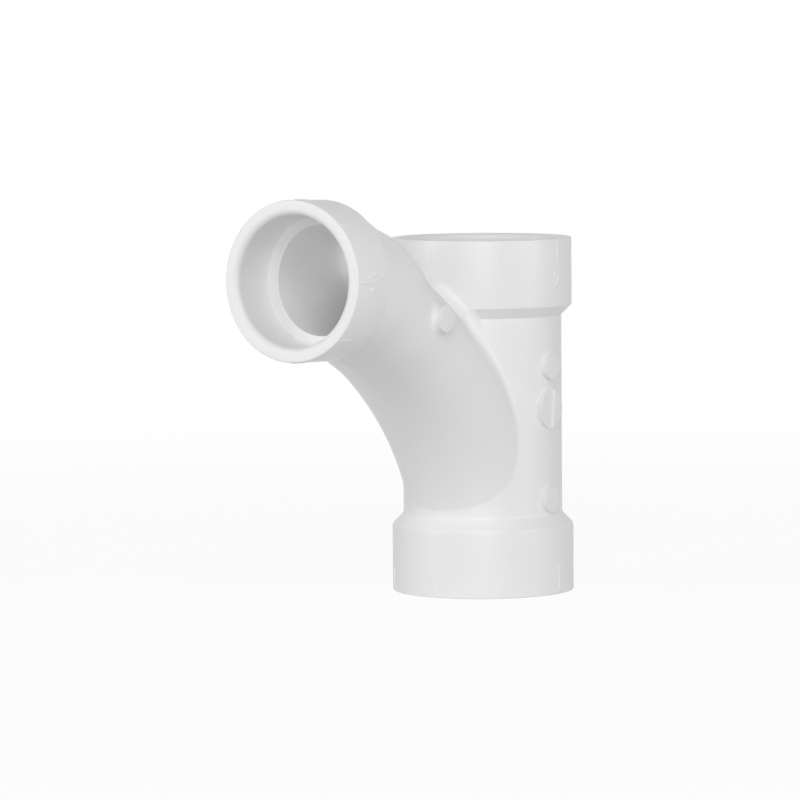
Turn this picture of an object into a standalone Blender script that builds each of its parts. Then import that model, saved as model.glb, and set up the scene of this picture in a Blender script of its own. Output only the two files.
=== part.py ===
# Long turn wye: a moulded PVC drain fitting for solvent-welded pipe.
# The run stands upright on its lower rim and the branch sweeps up from it and leaves along +X.
# One moulding: the run with a hub at each end, the swept branch with its smaller hub, the
# moulding pads, the side bosses and the alignment ridges.
# Lengths are in metres and angles in degrees. Heights are taken from the lower rim.

import math

import bmesh
import bpy
from mathutils import Matrix, Vector

# Run
RUN_LENGTH = 0.1360
RUN_BORE_RADIUS = 0.02625
RUN_WALL = 0.00475
HUB_WALL = 0.0046
LOWER_HUB_LENGTH = 0.0256
UPPER_HUB_LENGTH = 0.0263
LOWER_HUB_ROUND = 0.0020
UPPER_HUB_ROUND = 0.0008

# Socket for 2 in pipe, tapered from its entrance to its stop
RUN_SOCKET_ENTRANCE = 0.03031
RUN_SOCKET_BOTTOM = 0.03009
RUN_SOCKET_DEPTH = 0.01905

# Socket for 1-1/2 in pipe
BRANCH_SOCKET_ENTRANCE = 0.02428
BRANCH_SOCKET_BOTTOM = 0.02405
BRANCH_SOCKET_DEPTH = 0.0186

# Every socket mouth and every rim
MOUTH_ROUND = 0.0028
RIM_EDGE_ROUND = 0.0004

# Branch hub: its face centre lies this far from the run's axis and below the upper rim
BRANCH_REACH = 0.1256
BRANCH_BELOW_TOP = 0.0110
BRANCH_PITCH = 1.8
BRANCH_HUB_WALL = 0.00532
BRANCH_HUB_LENGTH = 0.0200
BRANCH_HUB_STEP = 0.00035

# Throat, the under side of the branch: one arc that starts level beyond the branch hub's face
# and ends on the run's body
THROAT_LEAD = 0.0100
THROAT_DROP = 0.0235
THROAT_FOOT = 0.0359

# Crown, the upper side: concentric with the throat at two heights above it, with a rounded step
# down towards the run, and a taper up to the branch hub
UPPER_SECTION = 0.0508
LOWER_SECTION = 0.0440
STEP_ANGLE = 25.4
STEP_SPREAD = 3.6
SHOULDER_LENGTH = 0.0180
SHOULDER_BLEND = 2.0

# Water passage inside the branch, and the wall round it
PASSAGE_HALF_WIDTH = 0.0219
STOP_OPENING_HALF_WIDTH = 0.01905
BRANCH_WALL = 0.0045
STOP_EXTRA_WALL = 0.0009
FLANK_TAPER_START = 10.0
FLANK_TAPER_END = 36.0
PASSAGE_START = 7.0
PASSAGE_END = 72.0
PASSAGE_NARROWING = 15.0

# Fillet where the branch meets the run; its radius changes round the branch's section
CROWN_FILLET = 0.0078
SHOULDER_FILLET = 0.0036
FLANK_FILLET = 0.0050
THROAT_FILLET = 0.0085
SHOULDER_TURN = 35.0
FILLET_SINK = 0.00025

# Moulding pads on both sides of the run: height of the centre and radius
UPPER_PAD = (0.0870, 0.0047)
MIDDLE_PAD = (0.0710, 0.00775)
LOWER_PAD = (0.0363, 0.0052)
PAD_STAND = 0.0010
PAD_BAR_WIDTH = 0.0052
PAD_BAR_STAND = 0.0006

# Boss on each flank of the branch, placed by its angle about the throat's centre and its
# distance above the throat; it stands out from the widest part of the section there
BOSS_ANGLE = 29.03
BOSS_RISE = 0.02516
BOSS_RADIUS = 0.00525
BOSS_STAND = 0.0028

# Alignment ridges, one each 45 degrees round every hub
RIDGES_PER_HUB = 8
RIDGE_LENGTH = 0.0066
RIDGE_INSET = 0.0018
RIDGE_WIDTH = 0.0012
RIDGE_STAND = 0.0004

# How finely the round shapes are faceted
RUN_SEGMENTS = 72
BRANCH_SEGMENTS = 60
PASSAGE_SEGMENTS = 44
PAD_SEGMENTS = 20
BRANCH_ROWS = 7
PASSAGE_ROWS = 13
STEP_ROWS = 4
FILLET_ROWS = 3
CORNER_STEPS = 2
MOUTH_STEPS = 3
SMOOTH_ANGLE = 28.0

# Overlap that lets one solid reach into another, and a cutter reach out of a face
OVERLAP = 0.0010
MERGE = 0.000005

# Sizes that follow from the ones above
BODY_RADIUS = RUN_BORE_RADIUS + RUN_WALL
ROOT_RADIUS = RUN_BORE_RADIUS + RUN_WALL / 2
RUN_HUB_RADIUS = RUN_SOCKET_ENTRANCE + HUB_WALL
BRANCH_HUB_RADIUS = BRANCH_SOCKET_ENTRANCE + BRANCH_HUB_WALL
BRANCH_HEIGHT = RUN_LENGTH - BRANCH_BELOW_TOP
NECK_RADIUS = BRANCH_HUB_RADIUS - BRANCH_HUB_STEP
PITCH = math.radians(BRANCH_PITCH)
BRANCH_AXIS = Vector((math.cos(PITCH), 0.0, math.sin(PITCH)))
BRANCH_UP = Vector((-math.sin(PITCH), 0.0, math.cos(PITCH)))
BRANCH_FACE = Vector((BRANCH_REACH, 0.0, BRANCH_HEIGHT))

# The whole fitting is centred over the origin
LEFT_EDGE = -RUN_HUB_RADIUS - RIDGE_STAND
RIGHT_EDGE = BRANCH_REACH + (BRANCH_HUB_RADIUS - RIM_EDGE_ROUND) * math.sin(PITCH)
RUN_OFFSET = (LEFT_EDGE + RIGHT_EDGE) / 2


def ease(value, start, end):
    """0 before start, 1 after end, and a smooth S between them."""
    t = min(max((value - start) / (end - start), 0.0), 1.0)
    return t * t * (3 - 2 * t)


def rounded(corners, steps=CORNER_STEPS):
    """A profile of (radius, height, rounding) corners, with an arc at each rounded one."""
    points = []
    for i, (r, z, rounding) in enumerate(corners):
        if rounding <= 0:
            points.append((r, z))
            continue
        here = Vector((r, z))
        before = (Vector(corners[i - 1][:2]) - here).normalized()
        after = (Vector(corners[i + 1][:2]) - here).normalized()
        half = before.angle(after) / 2
        centre = here + (before + after).normalized() * rounding / math.sin(half)
        first = here + before * rounding / math.tan(half) - centre
        last = here + after * rounding / math.tan(half) - centre
        turn = math.pi - 2 * half
        for k in range(steps + 1):
            near = math.sin(turn * (1 - k / steps)) / math.sin(turn)
            far = math.sin(turn * k / steps) / math.sin(turn)
            points.append(tuple(centre + first * near + last * far))
    return points


def run_profile():
    """Outer side of the run from the top down to the foot."""
    chamfer = RUN_HUB_RADIUS - BODY_RADIUS
    upper_edge = RUN_LENGTH - UPPER_HUB_LENGTH
    return rounded([
        (RUN_HUB_RADIUS, RUN_LENGTH + OVERLAP, 0),
        (RUN_HUB_RADIUS, upper_edge, UPPER_HUB_ROUND),
        (BODY_RADIUS, upper_edge - chamfer, UPPER_HUB_ROUND),
        (BODY_RADIUS, LOWER_HUB_LENGTH + chamfer, LOWER_HUB_ROUND),
        (RUN_HUB_RADIUS, LOWER_HUB_LENGTH, LOWER_HUB_ROUND),
        (RUN_HUB_RADIUS, -OVERLAP, 0),
    ])


def mouth(entrance):
    """Arc of a socket's mouth from just outside the face inwards, as (radius, depth)."""
    step = math.radians(90) / MOUTH_STEPS
    points = []
    for k in range(1, MOUTH_STEPS + 1):
        outward = MOUTH_ROUND * (1 - math.sin(k * step))
        depth = MOUTH_ROUND * (1 - math.cos(k * step))
        points.append((entrance + outward, depth))
    face = (entrance + MOUTH_ROUND, 0.0)
    lead = (2 * face[0] - points[0][0], -points[0][1])
    return [lead] + points


# Throat and crown of the branch, in the plane y = 0 as (x, height)

THROAT_TOP = (BRANCH_REACH + THROAT_LEAD, BRANCH_HEIGHT - THROAT_DROP)
THROAT_SPAN = THROAT_TOP[0] - BODY_RADIUS
THROAT_CLIMB = THROAT_TOP[1] - THROAT_FOOT
THROAT_RADIUS = (THROAT_SPAN ** 2 + THROAT_CLIMB ** 2) / (2 * THROAT_CLIMB)
THROAT_CENTRE = Vector((THROAT_TOP[0], THROAT_TOP[1] - THROAT_RADIUS))


def spoke(angle):
    """Direction from the throat's centre at an angle from the top of its arc to the run."""
    return Vector((-math.sin(angle), math.cos(angle)))


def angle_of(point):
    """Angle of a point of the plane y = 0 about the throat's centre."""
    offset = point - THROAT_CENTRE
    return math.atan2(-offset.x, offset.y)


HUB_END = BRANCH_FACE - BRANCH_AXIS * BRANCH_HUB_LENGTH + BRANCH_UP * NECK_RADIUS
SHOULDER_TOP = Vector((HUB_END.x, HUB_END.z))
UPPER_CROWN = THROAT_RADIUS + UPPER_SECTION
CREST_REACH = BRANCH_REACH - BRANCH_HUB_LENGTH - SHOULDER_LENGTH
CREST_ANGLE = math.asin((THROAT_CENTRE.x - CREST_REACH) / UPPER_CROWN)
CREST = THROAT_CENTRE + UPPER_CROWN * spoke(CREST_ANGLE)


def to_line(angle, start, along):
    """Distance along a spoke to a straight line."""
    across = Vector((-along.y, along.x))
    return (start - THROAT_CENTRE).dot(across) / spoke(angle).dot(across)


def swept_crown(angle):
    """Distance along a spoke to the crown below the shoulder."""
    half = STEP_SPREAD / 2
    share = ease(math.degrees(angle), STEP_ANGLE - half, STEP_ANGLE + half)
    return UPPER_CROWN + (LOWER_SECTION - UPPER_SECTION) * share


def crown(angle):
    """Distance along a spoke to the outer crown, with the shoulder's taper up to the hub."""
    if angle <= angle_of(SHOULDER_TOP):
        return to_line(angle, SHOULDER_TOP, Vector((BRANCH_AXIS.x, BRANCH_AXIS.z)))
    blend = math.radians(SHOULDER_BLEND)
    if angle >= CREST_ANGLE + blend:
        return swept_crown(angle)
    taper = to_line(angle, CREST, (SHOULDER_TOP - CREST).normalized())
    share = ease(angle, CREST_ANGLE - blend, CREST_ANGLE + blend)
    return taper + (swept_crown(angle) - taper) * share


def sweep_angles(start, end, rows):
    """Angles from start to end, close together over the step."""
    half = math.radians(STEP_SPREAD) / 2
    middle = math.radians(STEP_ANGLE)
    over_step = [middle + half * (2 * k / STEP_ROWS - 1) for k in range(STEP_ROWS + 1)]
    rest = [over_step[-1] + (end - over_step[-1]) * (k + 1) / rows for k in range(rows)]
    return [start, (start + over_step[0]) / 2] + over_step + rest


def flank_ease(angle):
    """0 at the branch hub and 1 where the branch has its full swept section."""
    return ease(math.degrees(angle), FLANK_TAPER_START, FLANK_TAPER_END)


def flank_half_width(angle):
    """Half width of the branch's outer section at its waist."""
    return NECK_RADIUS + (PASSAGE_HALF_WIDTH + BRANCH_WALL - NECK_RADIUS) * flank_ease(angle)


def oval(angle, turn, low, waist, high, half_width):
    """Point of a section between two distances along a spoke; turn is 0 at the crown."""
    reach = high - waist if math.cos(turn) > 0 else waist - low
    place = THROAT_CENTRE + spoke(angle) * (waist + reach * math.cos(turn))
    return Vector((place.x, half_width * math.sin(turn), place.y))


def branch_point(angle, turn):
    """Point of the branch's outer surface."""
    share = flank_ease(angle)
    high = crown(angle)
    waist = high - NECK_RADIUS + ((THROAT_RADIUS - high) / 2 + NECK_RADIUS) * share
    return oval(angle, turn, THROAT_RADIUS, waist, high, flank_half_width(angle))


def passage_crown(angle):
    """Distance along a spoke to the passage's crown, which comes down gently before the step."""
    narrow = STEP_ANGLE + STEP_SPREAD / 2
    share = ease(math.degrees(angle), narrow - PASSAGE_NARROWING, narrow)
    return UPPER_CROWN - BRANCH_WALL + (LOWER_SECTION - UPPER_SECTION) * share


def passage_point(angle, turn):
    """Point of the water passage inside the branch."""
    share = flank_ease(angle)
    low = THROAT_RADIUS + BRANCH_WALL + STOP_EXTRA_WALL * (1 - share)
    high = passage_crown(angle)
    half_width = STOP_OPENING_HALF_WIDTH + (PASSAGE_HALF_WIDTH - STOP_OPENING_HALF_WIDTH) * share
    return oval(angle, turn, low, (low + high) / 2, high, half_width)


def branch_normal(angle, turn):
    """Outward direction square to the branch's surface."""
    small = 0.0005
    along = branch_point(angle + small, turn) - branch_point(angle - small, turn)
    around = branch_point(angle, turn + small) - branch_point(angle, turn - small)
    return around.cross(along).normalized()


# Fillet between the branch and the run: a ball rolls down each line of the branch until it
# touches the run

def nearest_on_run(point, profile):
    """Point of the run's outer surface nearest to a point outside it."""
    here = Vector((math.hypot(point.x, point.y), point.z))
    best = None
    for start, end in zip(profile, profile[1:]):
        start, end = Vector(start), Vector(end)
        side = end - start
        share = min(max((here - start).dot(side) / side.length_squared, 0.0), 1.0)
        touch = start + side * share
        if best is None or (touch - here).length < (best - here).length:
            best = touch
    return Vector((point.x * best.x / here.x, point.y * best.x / here.x, best.y))


def root_fillet(turn):
    """Radius of the ball on one line of the branch."""
    side = math.degrees(abs(math.remainder(turn, 2 * math.pi)))
    radius = CROWN_FILLET + (SHOULDER_FILLET - CROWN_FILLET) * ease(side, 0, SHOULDER_TURN)
    radius += (FLANK_FILLET - SHOULDER_FILLET) * ease(side, SHOULDER_TURN, 90)
    return radius + (THROAT_FILLET - FLANK_FILLET) * ease(side, 90, 180)


def ball_gap(angle, turn, profile):
    """Room between the rolling ball and the run; negative once it has sunk in."""
    ball = root_fillet(turn)
    centre = branch_point(angle, turn) + branch_normal(angle, turn) * ball
    if math.hypot(centre.x, centre.y) <= BODY_RADIUS:
        return -ball
    return (nearest_on_run(centre, profile) - centre).length - ball + FILLET_SINK


def touch_angle(turn, profile):
    """Angle at which the ball on one line of the branch first touches the run."""
    step = math.radians(1)
    angle = CREST_ANGLE
    while ball_gap(angle + step, turn, profile) > 0:
        angle += step
    low, high = angle, angle + step
    for _ in range(30):
        middle = (low + high) / 2
        if ball_gap(middle, turn, profile) > 0:
            low = middle
        else:
            high = middle
    return low


def branch_line(turn, profile):
    """Points of one line along the branch, from inside its hub to inside the run's wall."""
    shoulder = angle_of(SHOULDER_TOP)
    start = angle_of(SHOULDER_TOP + Vector((BRANCH_AXIS.x, BRANCH_AXIS.z)) * BRANCH_HUB_LENGTH / 4)
    end = touch_angle(turn, profile)
    angles = [start, shoulder, (shoulder + CREST_ANGLE) / 2]
    angles += sweep_angles(CREST_ANGLE, end, BRANCH_ROWS)
    points = [branch_point(angle, turn) for angle in angles]
    radius = root_fillet(turn)
    ball = points[-1] + branch_normal(end, turn) * radius
    first = (points[-1] - ball).normalized()
    last = (nearest_on_run(ball, profile) - ball).normalized()
    bend = first.angle(last)
    for k in range(1, FILLET_ROWS + 1):
        share = k / FILLET_ROWS
        spread = first * math.sin(bend * (1 - share)) + last * math.sin(bend * share)
        points.append(ball + spread.normalized() * radius)
    root = points[-1]
    inward = ROOT_RADIUS / math.hypot(root.x, root.y)
    points.append(Vector((root.x * inward, root.y * inward, root.z)))
    return points


def new_object(name, mesh, collection):
    """Object of a mesh, linked to a collection and set in the fitting's frame."""
    obj = bpy.data.objects.new(name, mesh)
    collection.objects.link(obj)
    obj.parent = frame
    return obj


def as_tool(obj):
    """Mark an object as one that only shapes another."""
    obj.hide_render = True
    obj.display_type = "WIRE"
    return obj


def turned(name, profile, segments, collection, matrix=Matrix()):
    """Solid of revolution about local Z; the profile runs down its outer side."""
    top, foot = profile[0][1], profile[-1][1]
    points = [(0.0, top)] + list(profile) + [(0.0, foot)]
    mesh = bpy.data.meshes.new(name)
    edges = [(i, i + 1) for i in range(len(points) - 1)]
    mesh.from_pydata([(r, 0.0, z) for r, z in points], edges, [])
    obj = new_object(name, mesh, collection)
    obj.matrix_local = matrix
    screw = obj.modifiers.new("turn", "SCREW")
    screw.steps = segments
    screw.render_steps = segments
    screw.use_merge_vertices = True
    screw.merge_threshold = MERGE
    return obj


def lofted(name, lines, collection):
    """Closed solid through lines that all have the same number of points; both ends are filled
    towards the middle of their loop."""
    mesh = bpy.data.meshes.new(name)
    bm = bmesh.new()
    grid = [[bm.verts.new(point) for point in line] for line in lines]
    count = len(lines)
    for i in range(count):
        here, after = grid[i], grid[(i + 1) % count]
        for k in range(len(here) - 1):
            bm.faces.new((here[k], here[k + 1], after[k + 1], after[k]))
    for k in (0, -1):
        loop = [line[k] for line in grid]
        middle = bm.verts.new(sum((vert.co for vert in loop), Vector()) / count)
        for i in range(count):
            bm.faces.new((loop[i], loop[(i + 1) % count], middle))
    bmesh.ops.recalc_face_normals(bm, faces=bm.faces)
    bm.to_mesh(mesh)
    bm.free()
    return new_object(name, mesh, collection)


def add_solids(name, collection, makers):
    """One object of several separate solids; each maker adds one to the bmesh."""
    mesh = bpy.data.meshes.new(name)
    bm = bmesh.new()
    for maker in makers:
        maker(bm)
    bm.to_mesh(mesh)
    bm.free()
    return new_object(name, mesh, collection)


def add_box(bm, size, matrix):
    """Box of a size, centred on a matrix."""
    bmesh.ops.create_cube(bm, size=1.0, matrix=matrix @ Matrix.Diagonal((*size, 1.0)))


def add_pin(bm, radius, x, z, inner, outer):
    """Cylinder along Y between two distances from the middle plane."""
    place = Matrix.Translation((x, (inner + outer) / 2, z)) @ Matrix.Rotation(math.pi / 2, 4, "X")
    bmesh.ops.create_cone(bm, cap_ends=True, segments=PAD_SEGMENTS, radius1=radius,
                          radius2=radius, depth=abs(outer - inner), matrix=place)


def run_blank(collection):
    """The run as one turned solid, before its bore is cut."""
    profile = rounded([
        (RUN_HUB_RADIUS - RIM_EDGE_ROUND * 2, RUN_LENGTH, 0),
        (RUN_HUB_RADIUS, RUN_LENGTH, RIM_EDGE_ROUND),
        *[(r, z, 0) for r, z in run_profile()[1:-1]],
        (RUN_HUB_RADIUS, 0.0, RIM_EDGE_ROUND),
        (RUN_HUB_RADIUS - RIM_EDGE_ROUND * 2, 0.0, 0),
    ])
    return turned("wye_body", profile, RUN_SEGMENTS, collection)


def branch_blank(collection):
    """The swept branch from inside its hub to inside the run's wall, with its root fillet."""
    profile = run_profile()
    turns = [2 * math.pi * i / BRANCH_SEGMENTS for i in range(BRANCH_SEGMENTS)]
    return lofted("branch_sweep", [branch_line(turn, profile) for turn in turns], collection)


def branch_frame():
    """Local Z along the branch hub, out of its face, with the origin at the face's centre."""
    turn = Matrix.Rotation(math.pi / 2 - PITCH, 4, "Y")
    return Matrix.Translation(BRANCH_FACE) @ turn


def branch_hub(collection):
    """The branch's hub as a turned solid."""
    profile = rounded([
        (BRANCH_HUB_RADIUS - RIM_EDGE_ROUND * 2, 0.0, 0),
        (BRANCH_HUB_RADIUS, 0.0, RIM_EDGE_ROUND),
        (BRANCH_HUB_RADIUS, -BRANCH_HUB_LENGTH, RIM_EDGE_ROUND),
        (BRANCH_HUB_RADIUS - RIM_EDGE_ROUND * 2, -BRANCH_HUB_LENGTH, 0),
    ])
    return turned("branch_hub", profile, BRANCH_SEGMENTS, collection, branch_frame())


def side_pads(collection):
    """Round pads on both sides of the run, and a boss on each flank of the branch."""
    makers = []
    stand = BODY_RADIUS + PAD_STAND
    angle = math.radians(BOSS_ANGLE)
    boss = THROAT_CENTRE + spoke(angle) * (THROAT_RADIUS + BOSS_RISE)
    boss_end = flank_half_width(angle) + BOSS_STAND
    in_wall = PASSAGE_HALF_WIDTH + OVERLAP
    for side in (1, -1):
        for height, radius in (UPPER_PAD, MIDDLE_PAD, LOWER_PAD):
            inner = side * (math.sqrt(BODY_RADIUS ** 2 - radius ** 2) - OVERLAP)
            makers.append(lambda bm, r=radius, z=height, near=inner, far=side * stand:
                          add_pin(bm, r, 0.0, z, near, far))
        makers.append(lambda bm, near=side * in_wall, far=side * boss_end:
                      add_pin(bm, BOSS_RADIUS, boss.x, boss.y, near, far))
    return add_solids("pads", collection, makers)


def pad_bars(collection):
    """Upright bar across each middle pad."""
    height, radius = MIDDLE_PAD
    length = 2 * math.sqrt(radius ** 2 - (PAD_BAR_WIDTH / 2) ** 2) - PAD_BAR_STAND
    depth = PAD_BAR_STAND + OVERLAP
    middle = BODY_RADIUS + PAD_STAND + PAD_BAR_STAND - depth / 2
    makers = []
    for side in (1, -1):
        place = Matrix.Translation((0.0, side * middle, height))
        makers.append(lambda bm, at=place: add_box(bm, (PAD_BAR_WIDTH, depth, length), at))
    return add_solids("pad_bars", collection, makers)


def ridges(collection):
    """Alignment ridges round the three hubs."""
    depth = RIDGE_STAND + OVERLAP
    down = RIDGE_INSET + RIDGE_LENGTH / 2
    hubs = [
        (Matrix.Translation((0.0, 0.0, RUN_LENGTH)), RUN_HUB_RADIUS, -down),
        (Matrix(), RUN_HUB_RADIUS, down),
        (branch_frame(), BRANCH_HUB_RADIUS, -down),
    ]
    makers = []
    for base, radius, height in hubs:
        for k in range(RIDGES_PER_HUB):
            turn = Matrix.Rotation(2 * math.pi * k / RIDGES_PER_HUB, 4, "Z")
            out = Matrix.Translation((radius + RIDGE_STAND - depth / 2, 0.0, height))
            makers.append(lambda bm, at=base @ turn @ out:
                          add_box(bm, (depth, RIDGE_WIDTH, RIDGE_LENGTH), at))
    return add_solids("ridges", collection, makers)


def run_bore(collection):
    """Waterway of the run with a socket at each end."""
    arc = mouth(RUN_SOCKET_ENTRANCE)
    upper_stop = RUN_LENGTH - RUN_SOCKET_DEPTH
    profile = [(r, RUN_LENGTH - depth) for r, depth in arc]
    profile += [(RUN_SOCKET_BOTTOM, upper_stop), (RUN_BORE_RADIUS, upper_stop)]
    profile += [(RUN_BORE_RADIUS, RUN_SOCKET_DEPTH), (RUN_SOCKET_BOTTOM, RUN_SOCKET_DEPTH)]
    profile += [(r, depth) for r, depth in reversed(arc)]
    return turned("run_bore", profile, RUN_SEGMENTS, collection)


def branch_socket(collection):
    """Socket of the branch hub, down to its stop."""
    profile = [(r, -depth) for r, depth in mouth(BRANCH_SOCKET_ENTRANCE)]
    profile.append((BRANCH_SOCKET_BOTTOM, -BRANCH_SOCKET_DEPTH))
    return turned("branch_socket", profile, BRANCH_SEGMENTS, collection, branch_frame())


def branch_passage(collection):
    """Water passage from the branch socket's stop into the run's bore."""
    start, end = math.radians(PASSAGE_START), math.radians(PASSAGE_END)
    angles = [start + (end - start) * k / PASSAGE_ROWS for k in range(PASSAGE_ROWS + 1)]
    turns = [2 * math.pi * i / PASSAGE_SEGMENTS for i in range(PASSAGE_SEGMENTS)]
    lines = [[passage_point(angle, turn) for angle in angles] for turn in turns]
    return lofted("branch_passage", lines, collection)


def boolean(obj, other, operation):
    """Join another solid to an object, or cut it out."""
    modifier = obj.modifiers.new(other.name, "BOOLEAN")
    modifier.operation = operation
    modifier.solver = "EXACT"
    modifier.object = other


def white_pvc():
    """Moulded white PVC."""
    material = bpy.data.materials.new("white_pvc")
    material.use_nodes = True
    shader = material.node_tree.nodes["Principled BSDF"]
    shader.inputs["Base Color"].default_value = (0.82, 0.82, 0.81, 1.0)
    shader.inputs["Roughness"].default_value = 0.35
    shader.inputs["Metallic"].default_value = 0.0
    return material


def new_collection(name):
    """Collection linked to the scene."""
    collection = bpy.data.collections.new(name)
    bpy.context.scene.collection.children.link(collection)
    return collection


for old in list(bpy.data.objects):
    bpy.data.objects.remove(old, do_unlink=True)

parts = new_collection("long_turn_wye")
tools = new_collection("wye_tools")

frame = bpy.data.objects.new("wye_frame", None)
parts.objects.link(frame)
frame.location = (-RUN_OFFSET, 0.0, 0.0)

body = run_blank(parts)
for make in (branch_blank, branch_hub, side_pads, pad_bars, ridges):
    boolean(body, as_tool(make(tools)), "UNION")
for make in (run_bore, branch_socket, branch_passage):
    boolean(body, as_tool(make(tools)), "DIFFERENCE")
body.data.materials.append(white_pvc())

# The finished mesh takes the place of the modifiers so that its shading can be set
bpy.context.view_layer.update()
finished = body.evaluated_get(bpy.context.evaluated_depsgraph_get())
solid = bpy.data.meshes.new_from_object(finished)
body.modifiers.clear()
body.data = solid
solid.shade_smooth()
solid.set_sharp_from_angle(angle=math.radians(SMOOTH_ANGLE))
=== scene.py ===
import math

import bmesh
import bpy
from mathutils import Euler, Matrix, Vector


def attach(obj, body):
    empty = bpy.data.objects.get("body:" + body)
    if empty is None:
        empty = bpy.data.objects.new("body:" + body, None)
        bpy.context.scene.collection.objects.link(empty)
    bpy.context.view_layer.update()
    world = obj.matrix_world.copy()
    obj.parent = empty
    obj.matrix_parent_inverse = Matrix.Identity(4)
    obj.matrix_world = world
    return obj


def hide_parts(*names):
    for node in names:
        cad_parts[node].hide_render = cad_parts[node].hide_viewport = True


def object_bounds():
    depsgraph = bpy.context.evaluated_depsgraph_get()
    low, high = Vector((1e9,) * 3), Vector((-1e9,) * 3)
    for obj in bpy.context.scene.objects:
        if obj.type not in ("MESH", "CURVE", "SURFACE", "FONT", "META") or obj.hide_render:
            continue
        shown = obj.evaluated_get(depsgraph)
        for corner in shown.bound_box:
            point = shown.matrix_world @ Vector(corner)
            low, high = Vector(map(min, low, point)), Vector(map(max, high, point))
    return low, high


# Long turn wye in white PVC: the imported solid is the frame, and a finer moulding of the same
# dimensions stands for it. Lengths are in metres, angles in degrees, heights from the lower rim.

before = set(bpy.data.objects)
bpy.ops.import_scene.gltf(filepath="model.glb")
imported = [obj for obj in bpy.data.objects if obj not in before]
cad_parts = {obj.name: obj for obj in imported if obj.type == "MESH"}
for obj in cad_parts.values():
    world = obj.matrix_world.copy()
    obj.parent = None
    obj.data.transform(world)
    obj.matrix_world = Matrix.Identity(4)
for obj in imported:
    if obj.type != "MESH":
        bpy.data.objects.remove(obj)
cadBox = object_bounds()
print("frame loaded")

overlap = 0.001  # how far a form runs past the surface that it joins or cuts
mergeDistance = 0.000001  # points nearer than this become one
sharpFrom = 32.0  # an edge that turns by more than this stays crisp


def ease(value, start, end):
    t = min(max((value - start) / (end - start), 0.0), 1.0)
    return t * t * (3 - 2 * t)


def spaced(start, end, rows):
    return [start + (end - start) * (k + 1) / rows for k in range(rows)]


def roundedProfile(corners, steps=6):
    # corners are (radius, height, rounding); a rounded one becomes an arc
    points = []
    for i, (r, z, rounding) in enumerate(corners):
        if rounding <= 0:
            points.append((r, z))
            continue
        here = Vector((r, z))
        before = (Vector(corners[i - 1][:2]) - here).normalized()
        after = (Vector(corners[i + 1][:2]) - here).normalized()
        half = before.angle(after) / 2
        centre = here + (before + after).normalized() * rounding / math.sin(half)
        first = here + before * rounding / math.tan(half) - centre
        last = here + after * rounding / math.tan(half) - centre
        turn = math.pi - 2 * half
        for k in range(steps + 1):
            near = math.sin(turn * (1 - k / steps)) / math.sin(turn)
            far = math.sin(turn * k / steps) / math.sin(turn)
            points.append(tuple(centre + first * near + last * far))
    return points


# node trees

def join(tree, source, target):
    tree.links.new(source, target)


def mathNode(tree, operation, *values):
    node = tree.nodes.new("ShaderNodeMath")
    node.operation = operation
    for socket, value in zip(node.inputs, values):
        if isinstance(value, (int, float)):
            socket.default_value = value
        else:
            join(tree, value, socket)
    return node.outputs[0]


def startTree(name, inputs):
    tree = bpy.data.node_groups.new(name, "GeometryNodeTree")
    face = tree.interface
    for label, kind in (("Geometry", "Geometry"), *inputs, ("Material", "Material")):
        face.new_socket(label, in_out="INPUT", socket_type="NodeSocket" + kind)
    face.new_socket("Geometry", in_out="OUTPUT", socket_type="NodeSocketGeometry")
    return tree, tree.nodes.new("NodeGroupInput")


def endTree(tree, given, geometry):
    real = tree.nodes.new("GeometryNodeRealizeInstances")
    paint = tree.nodes.new("GeometryNodeSetMaterial")
    result = tree.nodes.new("NodeGroupOutput")
    join(tree, geometry, real.inputs["Geometry"])
    join(tree, real.outputs["Geometry"], paint.inputs["Geometry"])
    join(tree, given.outputs["Material"], paint.inputs["Material"])
    join(tree, paint.outputs["Geometry"], result.inputs["Geometry"])
    return tree


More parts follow.
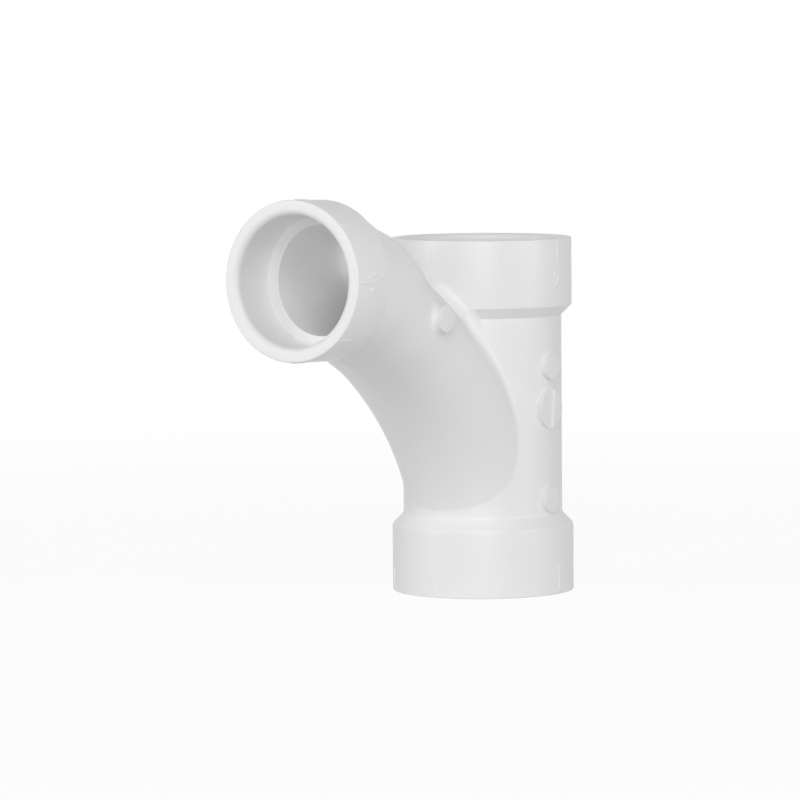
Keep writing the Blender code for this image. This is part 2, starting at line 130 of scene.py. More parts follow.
def turnedTree():
    # a profile's points are carried round the axis on a grid
    tree, given = startTree("turnedForm", [("Segments", "Int")])
    size = tree.nodes.new("GeometryNodeAttributeDomainSize")
    grid = tree.nodes.new("GeometryNodeMeshGrid")
    grid.inputs["Size X"].default_value = 1.0
    grid.inputs["Size Y"].default_value = 1.0
    onGrid = tree.nodes.new("GeometryNodeInputPosition")
    split = tree.nodes.new("ShaderNodeSeparateXYZ")
    sample = tree.nodes.new("GeometryNodeSampleIndex")
    sample.data_type = "FLOAT_VECTOR"
    onProfile = tree.nodes.new("GeometryNodeInputPosition")
    profile = tree.nodes.new("ShaderNodeSeparateXYZ")
    combine = tree.nodes.new("ShaderNodeCombineXYZ")
    move = tree.nodes.new("GeometryNodeSetPosition")
    merge = tree.nodes.new("GeometryNodeMergeByDistance")
    merge.inputs["Distance"].default_value = 2 * mergeDistance
    join(tree, given.outputs["Geometry"], size.inputs[0])
    join(tree, mathNode(tree, "ADD", given.outputs["Segments"], 1.0), grid.inputs["Vertices X"])
    join(tree, size.outputs["Point Count"], grid.inputs["Vertices Y"])
    join(tree, onGrid.outputs[0], split.inputs[0])
    angle = mathNode(tree, "MULTIPLY_ADD", split.outputs["X"], 2 * math.pi, math.pi)
    lastPoint = mathNode(tree, "SUBTRACT", size.outputs["Point Count"], 1.0)
    along = mathNode(tree, "MULTIPLY", mathNode(tree, "ADD", split.outputs["Y"], 0.5), lastPoint)
    join(tree, given.outputs["Geometry"], sample.inputs["Geometry"])
    join(tree, onProfile.outputs[0], sample.inputs["Value"])
    join(tree, mathNode(tree, "ROUND", along), sample.inputs["Index"])
    join(tree, sample.outputs[0], profile.inputs[0])
    for k, wave in enumerate(("COSINE", "SINE")):
        reach = mathNode(tree, "MULTIPLY", profile.outputs["X"], mathNode(tree, wave, angle))
        join(tree, reach, combine.inputs[k])
    join(tree, profile.outputs["Z"], combine.inputs[2])
    join(tree, grid.outputs["Mesh"], move.inputs["Geometry"])
    join(tree, combine.outputs[0], move.inputs["Position"])
    join(tree, move.outputs[0], merge.inputs["Geometry"])
    return endTree(tree, given, merge.outputs[0])


def ringTree():
    # one solid is repeated round the axis, each copy turned to face outwards
    tree, given = startTree("ringOfRidges", [("Count", "Int"), ("Radius", "Float")])
    ring = tree.nodes.new("GeometryNodeMeshCircle")
    onRing = tree.nodes.new("GeometryNodeInputPosition")
    turn = tree.nodes.new("FunctionNodeAlignRotationToVector")
    turn.axis = "X"
    copies = tree.nodes.new("GeometryNodeInstanceOnPoints")
    join(tree, given.outputs["Count"], ring.inputs["Vertices"])
    join(tree, given.outputs["Radius"], ring.inputs["Radius"])
    join(tree, ring.outputs["Mesh"], copies.inputs["Points"])
    join(tree, given.outputs["Geometry"], copies.inputs["Instance"])
    join(tree, onRing.outputs[0], turn.inputs["Vector"])
    join(tree, turn.outputs[0], copies.inputs["Rotation"])
    return endTree(tree, given, copies.outputs[0])


def beadTree():
    # a fine round bead along a line
    tree, given = startTree("seamBead", [("Radius", "Float"), ("Sides", "Int")])
    line = tree.nodes.new("GeometryNodeMeshToCurve")
    ring = tree.nodes.new("GeometryNodeCurvePrimitiveCircle")
    bead = tree.nodes.new("GeometryNodeCurveToMesh")
    bead.inputs["Fill Caps"].default_value = True
    join(tree, given.outputs["Geometry"], line.inputs["Mesh"])
    join(tree, given.outputs["Radius"], ring.inputs["Radius"])
    join(tree, given.outputs["Sides"], ring.inputs["Resolution"])
    join(tree, line.outputs["Curve"], bead.inputs["Curve"])
    join(tree, ring.outputs["Curve"], bead.inputs["Profile Curve"])
    return endTree(tree, given, bead.outputs["Mesh"])


# white PVC, by the names of the group's inputs: heights in metres, scales per metre
pvc = {"Tint": (0.910, 0.910, 0.907, 1.0), "Mottle": 0.010,
       "Roughness": 0.38, "Roughness Change": 0.05,
       "Wave Scale": 55.0, "Wave Height": 0.00003,
       "Grain Scale": 1400.0, "Grain Height": 0.000002}


def skinGroup():
    # colour, roughness and height of moulded plastic over the surface
    group = bpy.data.node_groups.new("mouldedSkin", "ShaderNodeTree")
    face = group.interface
    for label in pvc:
        kind = "NodeSocketColor" if label == "Tint" else "NodeSocketFloat"
        face.new_socket(label, in_out="INPUT", socket_type=kind)
    face.new_socket("Color", in_out="OUTPUT", socket_type="NodeSocketColor")
    face.new_socket("Roughness", in_out="OUTPUT", socket_type="NodeSocketFloat")
    face.new_socket("Height", in_out="OUTPUT", socket_type="NodeSocketFloat")
    given = group.nodes.new("NodeGroupInput")
    result = group.nodes.new("NodeGroupOutput")
    where = group.nodes.new("ShaderNodeTexCoord")

    def noise(scale, detail):
        node = group.nodes.new("ShaderNodeTexNoise")
        node.inputs["Detail"].default_value = detail
        join(group, where.outputs["Object"], node.inputs["Vector"])
        join(group, given.outputs[scale], node.inputs["Scale"])
        return mathNode(group, "SUBTRACT", node.outputs[0], 0.5)

    wave = noise("Wave Scale", 2.0)
    grain = noise("Grain Scale", 1.0)
    change = mathNode(group, "MULTIPLY_ADD", wave, given.outputs["Mottle"], 1.0)
    shade = group.nodes.new("ShaderNodeVectorMath")
    shade.operation = "SCALE"
    join(group, given.outputs["Tint"], shade.inputs[0])
    join(group, change, shade.inputs["Scale"])
    join(group, shade.outputs[0], result.inputs["Color"])
    rough = mathNode(group, "MULTIPLY_ADD", grain, given.outputs["Roughness Change"],
                     given.outputs["Roughness"])
    join(group, rough, result.inputs["Roughness"])
    waves = mathNode(group, "MULTIPLY", wave, given.outputs["Wave Height"])
    height = mathNode(group, "MULTIPLY_ADD", grain, given.outputs["Grain Height"], waves)
    join(group, height, result.inputs["Height"])
    return group


def whitePvc():
    material = bpy.data.materials.new("whitePvc")
    material.use_nodes = True
    tree = material.node_tree
    shader = tree.nodes["Principled BSDF"]
    look = tree.nodes.new("ShaderNodeGroup")
    look.node_tree = skinGroup()
    for label, value in pvc.items():
        look.inputs[label].default_value = value
    bump = tree.nodes.new("ShaderNodeBump")
    bump.inputs["Distance"].default_value = 1.0
    join(tree, look.outputs["Color"], shader.inputs["Base Color"])
    join(tree, look.outputs["Roughness"], shader.inputs["Roughness"])
    join(tree, look.outputs["Height"], bump.inputs["Height"])
    join(tree, bump.outputs[0], shader.inputs["Normal"])
    return material


plastic = whitePvc()
turnedForm, ringOfRidges, seamBead = turnedTree(), ringTree(), beadTree()
print("material and node trees made")


# meshes in the run's own frame, with its axis through the origin

def newObject(name, data):
    obj = bpy.data.objects.new(name, data)
    bpy.context.scene.collection.objects.link(obj)
    return obj


def objectFrom(name, bm):
    mesh = bpy.data.meshes.new(name)
    bm.to_mesh(mesh)
    bm.free()
    return newObject(name, mesh)


def evaluatedMesh(obj):
    bpy.context.view_layer.update()
    made = obj.evaluated_get(bpy.context.evaluated_depsgraph_get())
    return bpy.data.meshes.new_from_object(made)


def turnFacesOut(bm):
    # recalculating can leave a solid under a millimetre inside out, so its volume decides
    bmesh.ops.recalc_face_normals(bm, faces=bm.faces)
    if bm.calc_volume(signed=True) < 0:
        bmesh.ops.reverse_faces(bm, faces=bm.faces)


def settle(obj):
    # what the modifiers make becomes the object's own mesh, clean and facing outwards
    mesh = evaluatedMesh(obj)
    obj.modifiers.clear()
    obj.data = mesh
    bm = bmesh.new()
    bm.from_mesh(mesh)
    bmesh.ops.remove_doubles(bm, verts=bm.verts, dist=mergeDistance)
    bmesh.ops.dissolve_degenerate(bm, edges=bm.edges, dist=mergeDistance)
    turnFacesOut(bm)
    bm.to_mesh(mesh)
    bm.free()
    return obj


def runTree(obj, tree, values):
    # a modifier's inputs are set by their identifiers
    modifier = obj.modifiers.new(tree.name, "NODES")
    modifier.node_group = tree
    values = {**values, "Material": plastic}
    for item in tree.interface.items_tree:
        if item.in_out == "INPUT" and item.name in values:
            modifier[item.identifier] = values[item.name]
    return settle(obj)


def combineSolids(obj, others, operation):
    for other in others:
        modifier = obj.modifiers.new(other.name, "BOOLEAN")
        modifier.operation = operation
        modifier.solver = "EXACT"
        modifier.object = other
    settle(obj)
    for other in others:
        bpy.data.objects.remove(other, do_unlink=True)


def wire(name, points):
    mesh = bpy.data.meshes.new(name)
    mesh.from_pydata(points, [(i, i + 1) for i in range(len(points) - 1)], [])
    return newObject(name, mesh)


def turned(name, profile, segments, matrix=None):
    # solid of revolution from a profile of (radius, height), closed on the axis at both ends
    points = [(0.0, profile[0][1]), *profile, (0.0, profile[-1][1])]
    obj = wire(name, [(r, 0.0, z) for r, z in points])
    runTree(obj, turnedForm, {"Segments": segments})
    if matrix:
        obj.data.transform(matrix)
    return obj


def lofted(name, lines):
    # closed solid through lines with as many points each; both ends close on their middle
    bm = bmesh.new()
    grid = [[bm.verts.new(point) for point in line] for line in lines]
    count = len(lines)
    for i in range(count):
        here, after = grid[i], grid[(i + 1) % count]
        for k in range(len(here) - 1):
            bm.faces.new((here[k], here[k + 1], after[k + 1], after[k]))
    for k in (0, -1):
        loop = [line[k] for line in grid]
        middle = bm.verts.new(sum((vert.co for vert in loop), Vector()) / count)
        for i in range(count):
            bm.faces.new((loop[i], loop[(i + 1) % count], middle))
    turnFacesOut(bm)
    return objectFrom(name, bm)


def roundedBox(name, size, matrix, edge, steps=3):
    bm = bmesh.new()
    bmesh.ops.create_cube(bm, size=1.0, matrix=Matrix.Diagonal((*size, 1.0)))
    bmesh.ops.bevel(bm, geom=bm.edges[:], offset=edge, segments=steps, profile=0.5, affect="EDGES")
    bmesh.ops.transform(bm, matrix=matrix, verts=bm.verts)
    return objectFrom(name, bm)


# the straight pipe with a hub at each end; hub, body, bore and sockets are radii
run = dict(length=0.1360, bore=0.02625, body=0.0306, hub=0.03491, upperHubRadius=0.03460,
           lowerHub=0.0256, upperHub=0.0258, lowerRound=0.0020, upperRound=0.0008,
           socketEntrance=0.03031, socketBottom=0.03009, socketDepth=0.01905,
           mouthRound=0.0023, rimRound=0.0005, stopRound=0.0004, segments=180)

lowerShoulder = run["lowerHub"] + (run["hub"] - run["body"])
upperShoulder = run["length"] - run["upperHub"] - (run["upperHubRadius"] - run["body"])
runSide = roundedProfile([
    (run["upperHubRadius"], run["length"] + overlap, 0),
    (run["upperHubRadius"], run["length"] - run["upperHub"], run["upperRound"]),
    (run["body"], upperShoulder, run["upperRound"]),
    (run["body"], lowerShoulder, run["lowerRound"]),
    (run["hub"], run["lowerHub"], run["lowerRound"]),
    (run["hub"], -overlap, 0),
])


def mouthArc(entrance, steps=12):
    # rounded mouth of a socket as (radius, depth), from just outside the face inwards
    size = run["mouthRound"]
    arc = [(entrance + size * (1 - math.sin(a)), size * (1 - math.cos(a)))
           for a in (math.pi / 2 * k / steps for k in range(steps + 1))]
    return [(2 * arc[0][0] - arc[1][0], -overlap)] + arc


def runBlank():
    lip = run["rimRound"]
    profile = roundedProfile([
        (run["upperHubRadius"] - lip * 2, run["length"], 0),
        (run["upperHubRadius"], run["length"], lip),
        *[(r, z, 0) for r, z in runSide[1:-1]],
        (run["hub"], 0.0, lip),
        (run["hub"] - lip * 2, 0.0, 0),
    ])
    return turned("moulding", profile, run["segments"])


def runBore():
    # both sockets, their stop rings and the bore between them
    socket = [(r, depth, 0) for r, depth in mouthArc(run["socketEntrance"])]
    socket += [(run["socketBottom"], run["socketDepth"], 0),
               (run["bore"], run["socketDepth"], run["stopRound"])]
    upper = [(r, run["length"] - depth, rounding) for r, depth, rounding in socket]
    return turned("runBore", roundedProfile(upper + socket[::-1]), run["segments"])


# the swept branch and its hub; a section is the depth from the throat to the crown, and rows
# counts the rows in the hub's end, the taper, the upper crown, the step and the rest
branch = dict(reach=0.1256, belowTop=0.0110, pitch=1.8, hub=0.0296, hubLength=0.0200,
              hubStep=0.00035, hubRound=0.0005, socketEntrance=0.02428, socketBottom=0.02405,
              socketDepth=0.0186, throatLead=0.0100, throatDrop=0.0230, throatFoot=0.0327,
              upperSection=0.0503, lowerSection=0.0435, stepAngle=25.4, stepSpread=8.5,
              shoulderLength=0.0180, shoulderBlend=2.0, taperStart=10.0, taperEnd=36.0,
              waistRise=0.0040, riseStart=38.0, riseEnd=60.0, wall=0.0045, stopExtraWall=0.0009,
              halfWidth=0.0264, segments=160, rows=(2, 8, 8, 10, 26))

pitch = math.radians(branch["pitch"])
branchAxis = Vector((math.cos(pitch), 0.0, math.sin(pitch)))
branchUp = Vector((-math.sin(pitch), 0.0, math.cos(pitch)))
branchHeight = run["length"] - branch["belowTop"]
branchFace = Vector((branch["reach"], 0.0, branchHeight))
hubMatrix = Matrix.Translation(branchFace) @ Matrix.Rotation(math.pi / 2 - pitch, 4, "Y")
neck = branch["hub"] - branch["hubStep"]

# the branch's lines lie on spokes from the middle of the throat's arc
throatTop = Vector((branch["reach"] + branch["throatLead"], branchHeight - branch["throatDrop"]))
throatSpan = throatTop.x - run["body"]
throatClimb = throatTop.y - branch["throatFoot"]
throatRadius = (throatSpan ** 2 + throatClimb ** 2) / (2 * throatClimb)
throatCentre = throatTop - Vector((0.0, throatRadius))


def spoke(angle):
    return Vector((-math.sin(angle), math.cos(angle)))


def angleOf(point):
    offset = point - throatCentre
    return math.atan2(-offset.x, offset.y)


def toLine(angle, start, along):
    across = Vector((-along.y, along.x))
    return (start - throatCentre).dot(across) / spoke(angle).dot(across)


hubEnd = branchFace - branchAxis * branch["hubLength"] + branchUp * neck
shoulderTop = Vector((hubEnd.x, hubEnd.z))
shoulderAngle = angleOf(shoulderTop)
upperCrown = throatRadius + branch["upperSection"]
crownDrop = branch["upperSection"] - branch["lowerSection"]
crestReach = branch["reach"] - branch["hubLength"] - branch["shoulderLength"]
crestAngle = math.asin((throatCentre.x - crestReach) / upperCrown)
crest = throatCentre + upperCrown * spoke(crestAngle)
stepStart = math.radians(branch["stepAngle"] - branch["stepSpread"] / 2)
stepEnd = math.radians(branch["stepAngle"] + branch["stepSpread"] / 2)


def sweptCrown(angle):
    return upperCrown - crownDrop * ease(angle, stepStart, stepEnd)


def crown(angle):
    # along the hub, then the taper up to the crest, then the swept crown with its step
    if angle <= shoulderAngle:
        return toLine(angle, shoulderTop, Vector((branchAxis.x, branchAxis.z)))
    blend = math.radians(branch["shoulderBlend"])
    if angle >= crestAngle + blend:
        return sweptCrown(angle)
    taper = toLine(angle, crest, (shoulderTop - crest).normalized())
    share = ease(angle, crestAngle - blend, crestAngle + blend)
    return taper + (sweptCrown(angle) - taper) * share


def flankEase(angle):
    return ease(math.degrees(angle), branch["taperStart"], branch["taperEnd"])


def oval(angle, turn, low, waist, high, halfWidth):
    # turn is 0 at the crown and half a turn at the throat
    reach = high - waist if math.cos(turn) > 0 else waist - low
    point = throatCentre + spoke(angle) * (waist + reach * math.cos(turn))
    return Vector((point.x, halfWidth * math.sin(turn), point.y))


def branchSection(angle):
    share = flankEase(angle)
    high = crown(angle)
    waist = high - neck + ((throatRadius - high) / 2 + neck) * share
    waist += branch["waistRise"] * ease(math.degrees(angle), branch["riseStart"], branch["riseEnd"])
    return waist, high, neck + (branch["halfWidth"] - neck) * share


def branchPoint(angle, turn):
    waist, high, halfWidth = branchSection(angle)
    return oval(angle, turn, throatRadius, waist, high, halfWidth)


def branchNormal(angle, turn, small=0.0002):
    along = branchPoint(angle + small, turn) - branchPoint(angle - small, turn)
    around = branchPoint(angle, turn + small) - branchPoint(angle, turn - small)
    return around.cross(along).normalized()


def branchHub():
    lip = branch["hubRound"]
    profile = roundedProfile([
        (branch["hub"] - lip * 2, 0.0, 0),
        (branch["hub"], 0.0, lip),
        (branch["hub"], -branch["hubLength"], lip),
        (branch["hub"] - lip * 2, -branch["hubLength"], 0),
    ])
    return turned("branchHub", profile, branch["segments"], hubMatrix)


def branchSocket():
    profile = [(r, -depth) for r, depth in mouthArc(branch["socketEntrance"])]
    profile.append((branch["socketBottom"], -branch["socketDepth"]))
    return turned("branchSocket", profile, branch["segments"], hubMatrix)


# the water passage inside the branch, from its stop ring into the run's bore
passage = dict(halfWidth=0.0219, stopHalfWidth=0.01905, start=7.0, end=72.0, narrowing=15.0,
               segments=112, rows=44)


def passagePoint(angle, turn):
    share = flankEase(angle)
    low = throatRadius + branch["wall"] + branch["stopExtraWall"] * (1 - share)
    narrow = ease(angle, stepEnd - math.radians(passage["narrowing"]), stepEnd)
    high = upperCrown - branch["wall"] - crownDrop * narrow
    halfWidth = passage["stopHalfWidth"] + (passage["halfWidth"] - passage["stopHalfWidth"]) * share
    return oval(angle, turn, low, (low + high) / 2, high, halfWidth)


def branchPassage():
    start, end = math.radians(passage["start"]), math.radians(passage["end"])
    angles = [start] + spaced(start, end, passage["rows"])
    count = passage["segments"]
    lines = [[passagePoint(a, 2 * math.pi * i / count) for a in angles] for i in range(count)]
    return lofted("branchPassage", lines)


# fillet at the branch's root: a ball rolls down each line of the branch until it touches the
# run, and its size depends on the turn round the branch's section
fillet = dict(crown=0.0078, shoulder=0.0052, flank=0.0050, throat=0.0030, shoulderTurn=35.0,
              sink=0.00004, rows=9, searchStep=1.0, halvings=22)


def nearestOnRun(point):
    here = Vector((math.hypot(point.x, point.y), point.z))
    best = None
    for start, end in zip(runSide, runSide[1:]):
        start, side = Vector(start), Vector(end) - Vector(start)
        share = min(max((here - start).dot(side) / side.length_squared, 0.0), 1.0)
        touch = start + side * share
        if best is None or (touch - here).length < (best - here).length:
            best = touch
    return Vector((point.x * best.x / here.x, point.y * best.x / here.x, best.y))


def rootFillet(turn):
    side = math.degrees(abs(math.remainder(turn, 2 * math.pi)))
    onShoulder = ease(side, 0, fillet["shoulderTurn"])
    size = fillet["crown"] + (fillet["shoulder"] - fillet["crown"]) * onShoulder
    size += (fillet["flank"] - fillet["shoulder"]) * ease(side, fillet["shoulderTurn"], 90)
    return size + (fillet["throat"] - fillet["flank"]) * ease(side, 90, 180)


def ballGap(angle, turn):
    size = rootFillet(turn)
    centre = branchPoint(angle, turn) + branchNormal(angle, turn) * size
    if math.hypot(centre.x, centre.y) <= run["body"]:
        return -size
    return (nearestOnRun(centre) - centre).length - size + fillet["sink"]


def touchAngle(turn):
    step = math.radians(fillet["searchStep"])
    low = crestAngle
    while ballGap(low + step, turn) > 0:
        low += step
    high = low + step
    for _ in range(fillet["halvings"]):
        middle = (low + high) / 2
        if ballGap(middle, turn) > 0:
            low = middle
        else:
            high = middle
    return low


def branchLine(turn):
    # one line of the branch, from inside the hub over the fillet and into the run's wall
    alongHub = Vector((branchAxis.x, branchAxis.z)) * branch["hubLength"]
    start = angleOf(shoulderTop + alongHub / 4)
    end = touchAngle(turn)
    stops = (start, shoulderAngle, crestAngle, stepStart, stepEnd, end)
    angles = [start]
    for before, after, rows in zip(stops, stops[1:], branch["rows"]):
        angles += spaced(before, after, rows)
    points = [branchPoint(angle, turn) for angle in angles]
    size = rootFillet(turn)
    ball = points[-1] + branchNormal(end, turn) * size
    first = (points[-1] - ball).normalized()
    last = (nearestOnRun(ball) - ball).normalized()
    bend = first.angle(last)
    for share in spaced(0.0, 1.0, fillet["rows"]):
        spread = first * math.sin(bend * (1 - share)) + last * math.sin(bend * share)
        points.append(ball + spread.normalized() * size)
    root = points[-1]
    inward = (run["bore"] + run["body"]) / 2 / math.hypot(root.x, root.y)
    points.append(Vector((root.x * inward, root.y * inward, root.z)))
    return points


def branchSweep():
    count = branch["segments"]
    return lofted("branchSweep", [branchLine(2 * math.pi * i / count) for i in range(count)])


# a disc with a rounded edge stands on a small concave foot that follows the surface under it
discForm = dict(segments=72, steps=6, root=0.0008, sink=0.00002)


def runSideAt(x, z):
    # the run is straight, so the height makes no difference
    return math.sqrt(run["body"] ** 2 - x * x)


def flankAt(x, z):
    point = Vector((x, z))
    waist, high, halfWidth = branchSection(angleOf(point))
    above = (point - throatCentre).length - waist
    reach = high - waist if above > 0 else waist - throatRadius
    return halfWidth * math.sqrt(1 - (above / reach) ** 2)


def disc(name, x, z, radius, end, edges, surface, side):
    foot, edge = edges["foot"], edges["edge"]
    quarter = [math.pi / 2 * k / discForm["steps"] for k in range(discForm["steps"] + 1)]
    # (distance from the middle, height, whether that is the height over the surface)
    rings = [(radius + foot, -discForm["root"], True)]
    rings += [(radius + foot * (1 - math.sin(a)), foot * (1 - math.cos(a)) - discForm["sink"], True)
              for a in quarter]
    rings += [(radius - edge * (1 - math.cos(a)), end - edge * (1 - math.sin(a)), False)
              for a in quarter]
    lines = []
    for i in range(discForm["segments"]):
        turn = 2 * math.pi * i / discForm["segments"]
        line = []
        for out, height, follows in rings:
            px, pz = x + out * math.cos(turn), z + out * math.sin(turn)
            base = surface(px, pz) if follows else 0.0
            line.append(Vector((px, side * (base + height), pz)))
        lines.append(line)
    return lofted(name, lines)


# round pads on both sides of the run as (height, radius, stand), and the slot across one of them
pads = dict(discs=((0.0870, 0.0048, 0.0020), (0.0710, 0.0075, 0.0012), (0.0363, 0.0051, 0.0014)),
            foot=0.0007, edge=0.00025, slotted=1, slotWidth=0.0044, slotDepth=0.0007,
            slotLean=6.5, slotShift=0.0004)


def padSlot(side):
    # the cutter is as deep outside the pad as in it, and longer than the pad is wide
    z, radius, stand = pads["discs"][pads["slotted"]]
    size = (pads["slotWidth"], 2 * pads["slotDepth"], 3 * radius)
    lean = Matrix.Rotation(math.radians(-pads["slotLean"]), 4, "Y")
    middle = Matrix.Translation((pads["slotShift"], side * (run["body"] + stand), z))
    return roundedBox("padSlot", size, middle @ lean, pads["edge"] / 2)


def padDiscs(side):
    made = [disc("pad", 0.0, z, radius, run["body"] + stand, pads, runSideAt, side)
            for z, radius, stand in pads["discs"]]
    combineSolids(made[pads["slotted"]], [padSlot(side)], "DIFFERENCE")
    return made


# boss on each flank of the branch, by its angle about the throat's centre and its rise above it
boss = dict(angle=29.03, rise=0.02466, radius=0.00525, stand=0.0028, foot=0.0026, edge=0.0004)


def flankBoss(side):
    angle = math.radians(boss["angle"])
    centre = throatCentre + spoke(angle) * (throatRadius + boss["rise"])
    end = branchSection(angle)[2] + boss["stand"]
    return disc("boss", centre.x, centre.y, boss["radius"], end, boss, flankAt, side)


# alignment ridges round the hubs, set in from the rims
ridge = dict(count=8, length=0.0076, inset=0.0012, width=0.0010, stand=0.00024, edge=0.0002)


def ridgeRing(name, radius, height, matrix):
    depth = ridge["stand"] + overlap
    size = (depth, ridge["width"], ridge["length"])
    out = Matrix.Translation((ridge["stand"] - depth / 2, 0, 0))
    obj = roundedBox(name, size, out, ridge["edge"])
    runTree(obj, ringOfRidges, {"Count": ridge["count"], "Radius": radius})
    obj.data.transform(matrix @ Matrix.Translation((0, 0, height)))
    return obj


def ridges():
    inwards = ridge["inset"] + ridge["length"] / 2
    top = Matrix.Translation((0, 0, run["length"]))
    return [ridgeRing("upperRidges", run["upperHubRadius"], -inwards, top),
            ridgeRing("lowerRidges", run["hub"], inwards, Matrix()),
            ridgeRing("branchRidges", branch["hub"], -inwards, hubMatrix)]


# raised size numerals on the hubs; the rises on the branch's hub count from its inner end
marks = dict(stand=0.00039, sink=0.0002, strokeGain=0.025, curveSteps=6,
             runSize=0.0074, upperAt=0.0153, capHalf=0.36, lowerSize=0.0056, lowerAt=0.0083,
             branchSize=0.0072, fractionSize=0.0052, fractionGap=0.0046, branchRise=0.0045,
             wholeRise=0.0018, upperRise=0.0049, barRise=0.0041, bar=0.0005, barShare=0.62,
             drawnLarger=1000.0)  # the font's outlines are only clean when they are drawn large


def onHub(across, out, height, matrix):
    angle = math.pi / 2 + across
    return matrix @ Vector((out * math.cos(angle), out * math.sin(angle), height))


def numeral(text, size, middle, foot, radius, matrix):
    # a figure wrapped on a hub; foot is the height of its foot along the hub's axis
    curve = bpy.data.curves.new("figure", "FONT")
    curve.body = text
    curve.size = size * marks["drawnLarger"]
    curve.align_x = "CENTER"
    curve.offset = curve.size * marks["strokeGain"]
    curve.extrude = (marks["stand"] + marks["sink"]) / 2 * marks["drawnLarger"]
    curve.resolution_u = marks["curveSteps"]
    drawn = newObject("figure", curve)
    bm = bmesh.new()
    bm.from_mesh(evaluatedMesh(drawn))
    bpy.data.objects.remove(drawn, do_unlink=True)
    bmesh.ops.scale(bm, vec=[1 / marks["drawnLarger"]] * 3, verts=bm.verts)
    bmesh.ops.remove_doubles(bm, verts=bm.verts, dist=mergeDistance)
    bmesh.ops.triangulate(bm, faces=bm.faces)
    for vert in bm.verts:
        out = radius + (marks["stand"] - marks["sink"]) / 2 + vert.co.z
        vert.co = onHub((vert.co.x + middle) / radius, out, foot + vert.co.y, matrix)
    turnFacesOut(bm)
    return objectFrom("figure", bm)


def fractionBar(foot, radius, matrix):
    inner, outer, head = radius - marks["sink"], radius + marks["stand"], foot + marks["bar"]
    corners = ((inner, foot), (inner, head), (outer, head), (outer, foot))
    width = marks["fractionSize"] * marks["barShare"]
    bm = bmesh.new()
    rows = []
    for u in (-width / 2, -width / 4, 0.0, width / 4, width / 2):
        across = (u + marks["fractionGap"] / 2) / radius
        rows.append([bm.verts.new(onHub(across, out, z, matrix)) for out, z in corners])
    for here, after in zip(rows, rows[1:]):
        for k in range(4):
            bm.faces.new((here[k], here[(k + 1) % 4], after[(k + 1) % 4], after[k]))
    bm.faces.new(rows[0])
    bm.faces.new(rows[-1])
    turnFacesOut(bm)
    return objectFrom("figure", bm)


def joined(name, objects):
    bm = bmesh.new()
    for obj in objects:
        bm.from_mesh(obj.data)
        bpy.data.objects.remove(obj, do_unlink=True)
    return objectFrom(name, bm)


def sizeNumerals():
    upright = Matrix()
    gap = marks["fractionGap"] / 2
    top = run["length"] - marks["upperAt"] - marks["runSize"] * marks["capHalf"]
    low = -branch["hubLength"] + marks["branchRise"]
    whole, upper = low + marks["wholeRise"], low + marks["upperRise"]
    return joined("sizeNumerals", [
        numeral("2", marks["runSize"], 0.0, top, run["upperHubRadius"], upright),
        numeral("2", marks["lowerSize"], 0.0, marks["lowerAt"], run["hub"], upright),
        numeral("1", marks["branchSize"], -gap, whole, branch["hub"], hubMatrix),
        numeral("1", marks["fractionSize"], gap, upper, branch["hub"], hubMatrix),
        numeral("2", marks["fractionSize"], gap, low, branch["hub"], hubMatrix),
        fractionBar(low + marks["barRise"], branch["hub"], hubMatrix)])


# the fine bead where the two halves of the mould meet, in the plane of the run and the branch
seam = dict(radius=0.00022, sides=8, rows=60, backRows=4)


def partingLines():
    throatStart, throatEnd = angleOf(Vector((hubEnd.x, throatTop.y))), touchAngle(math.pi)
    throatAngles = [throatStart] + spaced(throatStart, throatEnd, seam["rows"])
    crownAngles = [shoulderAngle] + spaced(shoulderAngle, touchAngle(0.0), seam["rows"])
    backHeights = [lowerShoulder] + spaced(lowerShoulder, upperShoulder, seam["backRows"])
    lines = ([branchPoint(a, math.pi) for a in throatAngles],
             [branchPoint(a, 0.0) for a in crownAngles],
             [Vector((-run["body"], 0.0, z)) for z in backHeights])
    sizes = {"Radius": seam["radius"], "Sides": seam["sides"]}
    return joined("partingLine", [runTree(wire("seam", line), seamBead, sizes) for line in lines])


# the run's ridges reach as far back along x as sideways along y, which gives its axis in the row
toRow = Matrix.Translation((cadBox[0].x + cadBox[1].y, 0.0, 0.0))


def place(obj):
    # into the frame of the row, smooth but for its true edges, in white PVC
    mesh = obj.data
    mesh.transform(toRow)
    mesh.materials.clear()
    mesh.materials.append(plastic)
    mesh.polygons.foreach_set("material_index", [0] * len(mesh.polygons))
    mesh.shade_smooth()
    mesh.set_sharp_from_angle(angle=math.radians(sharpFrom))


moulding = runBlank()
combineSolids(moulding, [branchSweep(), branchHub()], "UNION")
print("run and branch joined")
raised = [form for side in (1, -1) for form in (*padDiscs(side), flankBoss(side))]
combineSolids(moulding, raised + ridges(), "UNION")
print("pads, bosses and ridges joined")
combineSolids(moulding, [runBore(), branchSocket(), branchPassage()], "DIFFERENCE")
place(moulding)
print("waterway cut,", len(moulding.data.polygons), "faces")

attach(moulding, "root")
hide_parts("wye_body")

for detail in (sizeNumerals(), partingLines()):
    place(detail)
    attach(detail, "root")
print("numerals and parting line made")


# the pale floor, whose lit part fades into white between two distances, and the world's light
stage = dict(floorSize=8.0, floorColor=0.80, litShare=0.06, litFrom=0.25, litTo=0.95,
             worldLight=0.20)


def seenRays(tree):
    # 1 for rays from the camera, in reflections and through glass
    rays = tree.nodes.new("ShaderNodeLightPath")
    seen = mathNode(tree, "MAXIMUM", rays.outputs["Is Camera Ray"], rays.outputs["Is Glossy Ray"])
    return mathNode(tree, "MAXIMUM", seen, rays.outputs["Is Transmission Ray"])


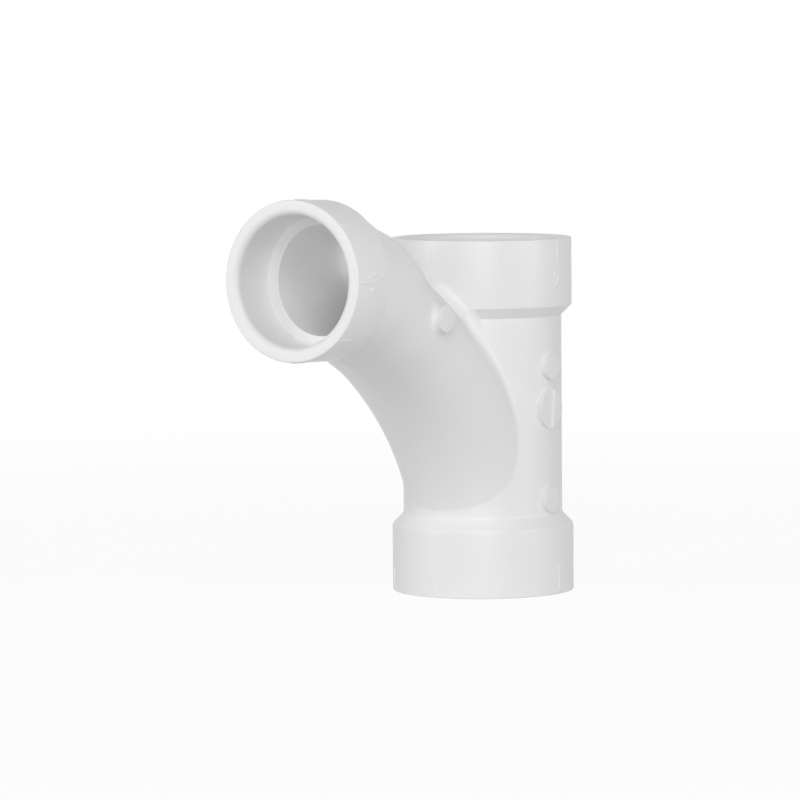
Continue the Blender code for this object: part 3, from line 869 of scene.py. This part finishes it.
def stageFloor():
    material = bpy.data.materials.new("paleFloor")
    material.use_nodes = True
    tree = material.node_tree
    shader = tree.nodes["Principled BSDF"]
    tone = stage["floorColor"]
    shader.inputs["Base Color"].default_value = (tone, tone, tone, 1.0)
    shader.inputs["Roughness"].default_value = 1.0
    shader.inputs["Specular IOR Level"].default_value = 0.0
    glow = tree.nodes.new("ShaderNodeEmission")
    mix = tree.nodes.new("ShaderNodeMixShader")
    # the lit part holds the fitting's shadow
    where = tree.nodes.new("ShaderNodeTexCoord")
    away = tree.nodes.new("ShaderNodeVectorMath")
    away.operation = "LENGTH"
    join(tree, where.outputs["Object"], away.inputs[0])
    fade = tree.nodes.new("ShaderNodeMapRange")
    fade.interpolation_type = "SMOOTHSTEP"
    fade.inputs["From Min"].default_value = stage["litFrom"]
    fade.inputs["From Max"].default_value = stage["litTo"]
    fade.inputs["To Min"].default_value = 1 - stage["litShare"]
    fade.inputs["To Max"].default_value = 1.0
    join(tree, away.outputs["Value"], fade.inputs["Value"])
    white = mathNode(tree, "MULTIPLY", seenRays(tree), fade.outputs["Result"])
    join(tree, white, mix.inputs["Fac"])
    join(tree, shader.outputs[0], mix.inputs[1])
    join(tree, glow.outputs[0], mix.inputs[2])
    join(tree, mix.outputs[0], tree.nodes["Material Output"].inputs["Surface"])
    bm = bmesh.new()
    bmesh.ops.create_grid(bm, x_segments=1, y_segments=1, size=stage["floorSize"])
    floor = objectFrom("floor", bm)
    floor.data.materials.append(material)


def whiteWorld():
    world = bpy.data.worlds.new("studio")
    bpy.context.scene.world = world
    world.use_nodes = True
    tree = world.node_tree
    background = tree.nodes["Background"]
    background.inputs["Color"].default_value = (1.0, 1.0, 1.0, 1.0)
    light = stage["worldLight"]
    join(tree, mathNode(tree, "MULTIPLY_ADD", seenRays(tree), 1 - light, light),
         background.inputs["Strength"])


# soft lamps as (name, direction, elevation, power), aimed at the middle of the fitting
lamps = dict(size=0.9, distance=2.0, target=(0.0, 0.0, 0.085),
             spots=(("lowSideLamp", 60, 10, 7.8), ("highSideLamp", 60, 35, 3.1),
                    ("lowFrontLamp", 124, 8, 7.1), ("highFrontLamp", 124, 35, 9.2),
                    ("farLamp", 190, 10, 8.7)))


def softLamp(name, azimuth, elevation, power):
    data = bpy.data.lights.new(name, "AREA")
    data.shape = "DISK"
    data.size = lamps["size"]
    data.energy = power
    lamp = newObject(name, data)
    around, up = math.radians(azimuth), math.radians(elevation)
    way = Vector((math.sin(around) * math.cos(up), -math.cos(around) * math.cos(up), math.sin(up)))
    lamp.location = Vector(lamps["target"]) + way * lamps["distance"]
    lamp.rotation_euler = (-way).to_track_quat("-Z", "Y").to_euler()


# a narrow lamp in line with the branch's hub lights the waterway through its mouth
mouthLamp = dict(distance=1.5, cone=1.25, blend=0.9, softness=0.003, power=85.0)


def waterwayLamp():
    data = bpy.data.lights.new("mouthLamp", "SPOT")
    data.energy = mouthLamp["power"]
    data.spot_size = math.radians(mouthLamp["cone"])
    data.spot_blend = mouthLamp["blend"]
    data.shadow_soft_size = mouthLamp["softness"]
    lamp = newObject("mouthLamp", data)
    lamp.location = toRow @ (branchFace + branchAxis * mouthLamp["distance"])
    lamp.rotation_euler = (-branchAxis).to_track_quat("-Z", "Y").to_euler()


stageFloor()
whiteWorld()
for spot in lamps["spots"]:
    softLamp(*spot)
waterwayLamp()

# the photograph's view, from the side of the branch's mouth
shot = dict(lens=210.993, sensor=36.0, clipEnd=50.0, place=(1.4603, 0.99092, 0.21828),
            turn=(85.40044, 0.41382, 124.32099))

cameraData = bpy.data.cameras.new("camera")
cameraData.lens = shot["lens"]
cameraData.sensor_width = shot["sensor"]
cameraData.clip_end = shot["clipEnd"]
camera = newObject("camera", cameraData)
camera.location = shot["place"]
camera.rotation_euler = Euler([math.radians(a) for a in shot["turn"]], "XYZ")
bpy.context.scene.camera = camera
bpy.context.scene.view_settings.view_transform = "Standard"
print("stage and camera set")
